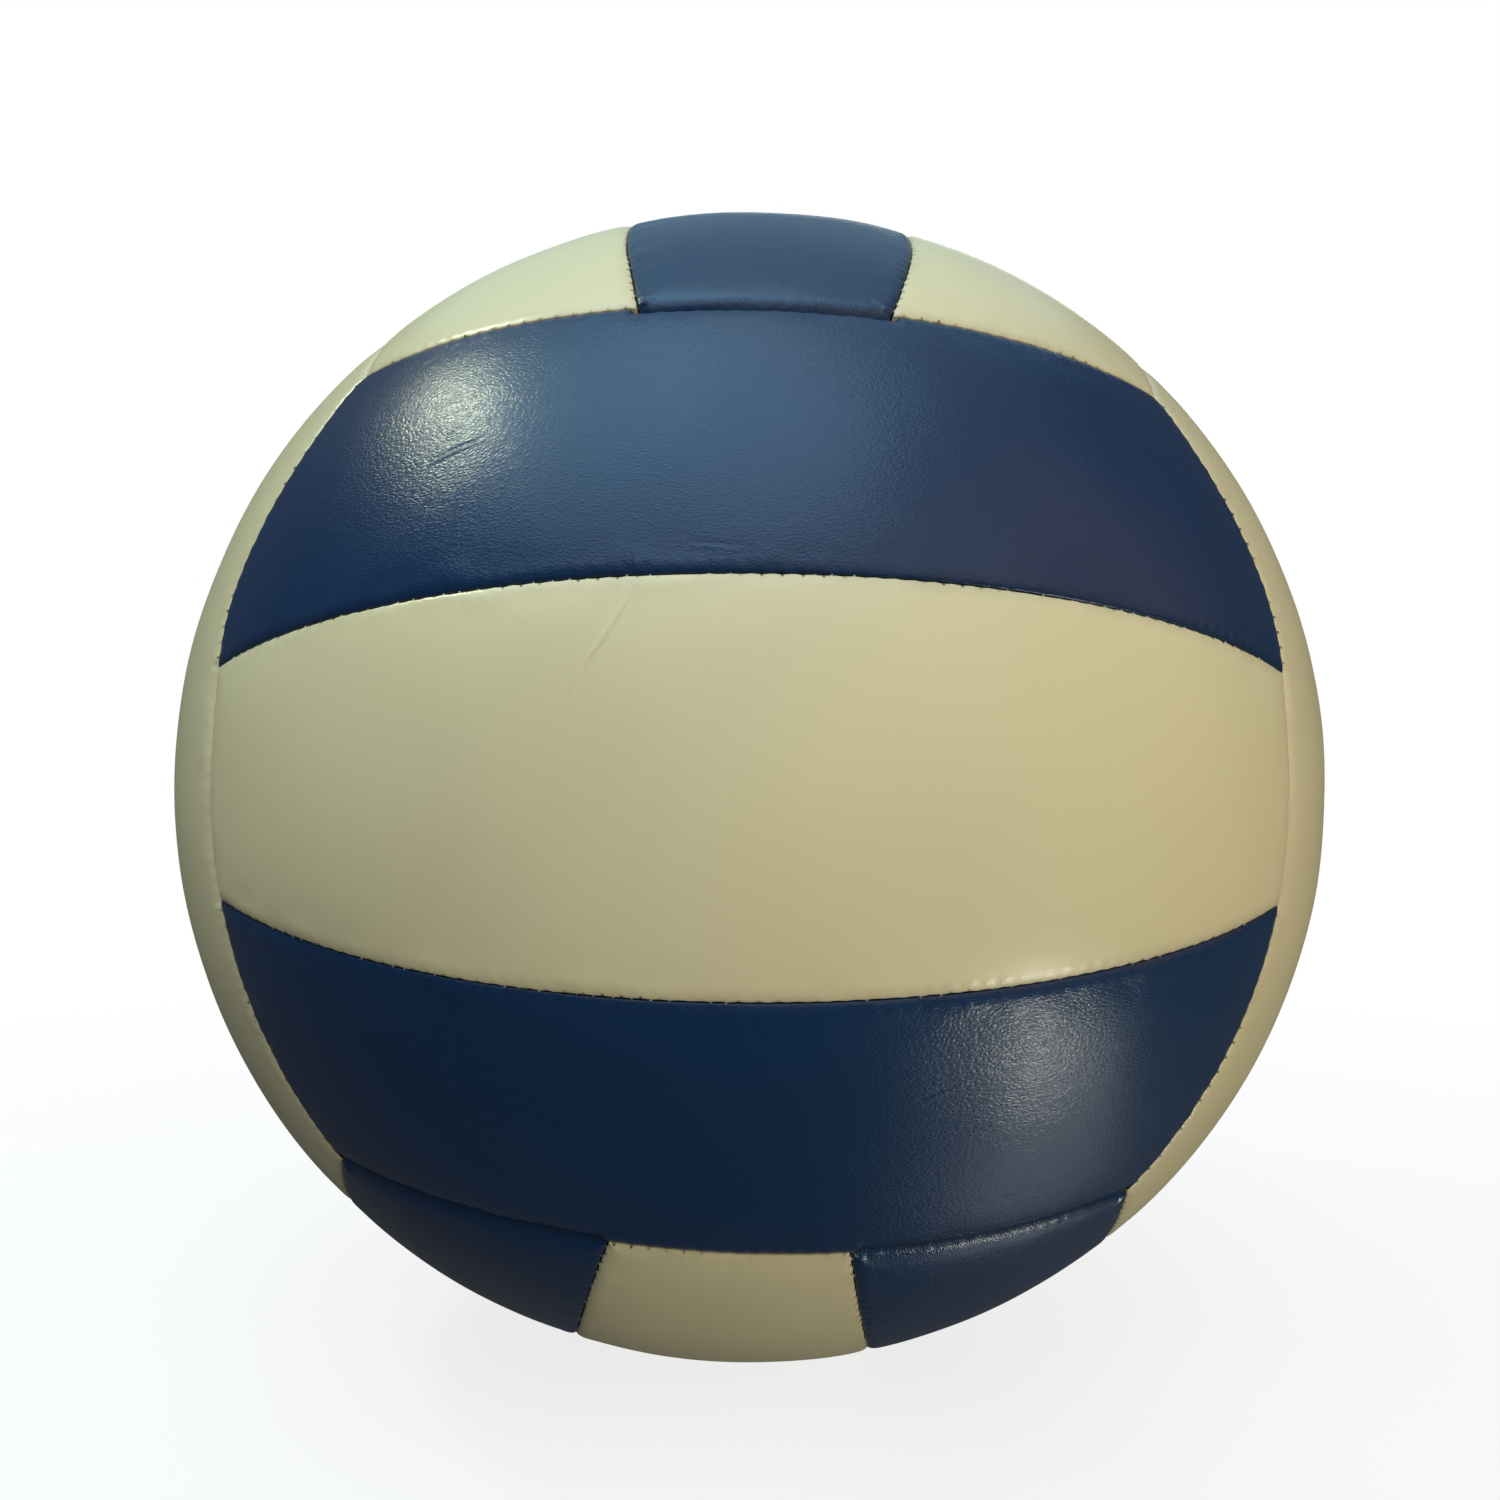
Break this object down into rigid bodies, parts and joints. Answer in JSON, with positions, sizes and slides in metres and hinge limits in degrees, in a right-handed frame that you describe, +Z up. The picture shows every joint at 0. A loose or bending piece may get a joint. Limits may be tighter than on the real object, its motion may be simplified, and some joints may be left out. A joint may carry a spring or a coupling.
{
  "type": "volleyball",
  "caption": "Stitched volleyball in blue and cream synthetic leather, three strips to a face, foam backed over a rubber bladder with a needle valve.",
  "frame": {"origin": "the ball's centre", "axes": "+Z up, -Y out of the middle of the front face whose strips run level along X, +Y out of the valve in the middle of the back face"},
  "size_m": [0.21, 0.2099, 0.21],
  "materials": {
    "blue_cover": "satin grained synthetic leather",
    "cream_cover": "satin grained synthetic leather",
    "foam": "matt closed-cell foam",
    "thread": "waxed polyester thread",
    "bladder_rubber": "smooth butyl rubber",
    "valve_rubber": "moulded rubber",
    "plug_rubber": "soft moulded rubber",
    "cloth_patch": "woven cotton cloth"
  },
  "bodies": {
    "root": {"front_upper_panel": "blue_cover", "front_upper_foam": "foam", "front_centre_panel": "cream_cover", "front_centre_foam": "foam", "front_lower_panel": "blue_cover", "front_lower_foam": "foam", "front_seam_thread": "thread", "back_upper_panel": "blue_cover", "back_upper_foam": "foam", "back_centre_panel": "cream_cover", "back_centre_foam": "foam", "back_lower_panel": "blue_cover", "back_lower_foam": "foam", "back_seam_thread": "thread", "right_front_panel": "cream_cover", "right_front_foam": "foam", "right_centre_panel": "blue_cover", "right_centre_foam": "foam", "right_rear_panel": "cream_cover", "right_rear_foam": "foam", "right_seam_thread": "thread", "left_front_panel": "cream_cover", "left_front_foam": "foam", "left_centre_panel": "blue_cover", "left_centre_foam": "foam", "left_rear_panel": "cream_cover", "left_rear_foam": "foam", "left_seam_thread": "thread", "top_left_panel": "cream_cover", "top_left_foam": "foam", "top_centre_panel": "blue_cover", "top_centre_foam": "foam", "top_right_panel": "cream_cover", "top_right_foam": "foam", "top_seam_thread": "thread", "bottom_left_panel": "blue_cover", "bottom_left_foam": "foam", "bottom_centre_panel": "cream_cover", "bottom_centre_foam": "foam", "bottom_right_panel": "blue_cover", "bottom_right_foam": "foam", "bottom_seam_thread": "thread", "bladder": "bladder_rubber", "valve_body": "valve_rubber", "valve_plug": "plug_rubber", "valve_patch": "cloth_patch"}
  },
  "joints": []
}
